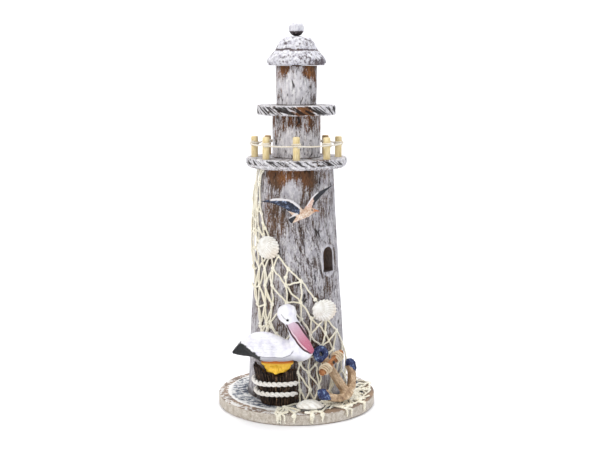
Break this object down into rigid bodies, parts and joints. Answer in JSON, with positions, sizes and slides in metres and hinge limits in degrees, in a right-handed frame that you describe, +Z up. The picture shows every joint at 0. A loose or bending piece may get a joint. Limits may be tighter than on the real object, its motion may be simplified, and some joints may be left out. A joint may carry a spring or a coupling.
{
  "type": "lighthouse ornament",
  "caption": "Whitewashed wooden lighthouse ornament on a round base, with a roped gallery, a fishing net with shells, a gull, a pelican on a piling and a leaning anchor.",
  "frame": {"origin": "centre of the base plate's flat underside", "axes": "+Z up along the tower's axis, -Y towards the front, where the pelican and the anchor stand, +X to the right seen from the front"},
  "size_m": [0.1384, 0.1384, 0.3308],
  "materials": {
    "base_wood": "whitewashed, mottled, matt",
    "tower_wood": "gouged and whitewashed, matt",
    "deck_wood": "scored edge, whitewashed, matt",
    "room_wood": "whitewashed, matt",
    "roof_wood": "scored and whitewashed, matt",
    "raw_wood": "unfinished dowel",
    "post_wood": "pale cream dowel, satin",
    "steel": "plain screw steel",
    "rail_twine": "twisted cotton string",
    "net_twine": "knotted cotton twine",
    "shell": "natural shell, semi-gloss",
    "gull_resin": "hand-painted resin, satin",
    "pelican_resin": "hand-painted resin, satin",
    "feet_resin": "hand-painted resin, satin",
    "piling_wood": "dark split timber, matt",
    "piling_rope": "white twisted rope",
    "anchor_wood": "weathered tan, navy paint on the eye and flukes",
    "stock_wood": "weathered tan, navy paint on the ends",
    "anchor_twine": "wound jute twine"
  },
  "bodies": {
    "root": {"base_plate": "base_wood", "base_screw_left": "steel", "base_screw_right": "steel", "tower_body": "tower_wood", "gallery_deck": "deck_wood", "watch_room": "room_wood", "lantern_deck": "deck_wood", "lantern_room": "room_wood", "dome_roof": "roof_wood", "finial_ball": "roof_wood", "gallery_dowel": "raw_wood", "lantern_dowel": "raw_wood", "dome_dowel": "raw_wood", "finial_dowel": "raw_wood", "rail_rope": "rail_twine", "seagull": "gull_resin", "scallop_shell_upper": "shell", "scallop_shell_lower": "shell", "base_shell": "shell", "piling": "piling_wood", "piling_rope_upper": "piling_rope", "piling_rope_lower": "piling_rope", "pelican": "pelican_resin", "pelican_feet": "feet_resin", "anchor_body": "anchor_wood", "anchor_stock": "stock_wood", "stock_twine_left": "anchor_twine", "stock_twine_right": "anchor_twine", "anchor_nail": "steel", "net_drape": "net_twine", "rail_post_1": "post_wood", "rail_post_2": "post_wood", "rail_post_3": "post_wood", "rail_post_4": "post_wood", "rail_post_5": "post_wood", "rail_post_6": "post_wood", "rail_post_7": "post_wood", "rail_post_8": "post_wood"}
  },
  "joints": []
}
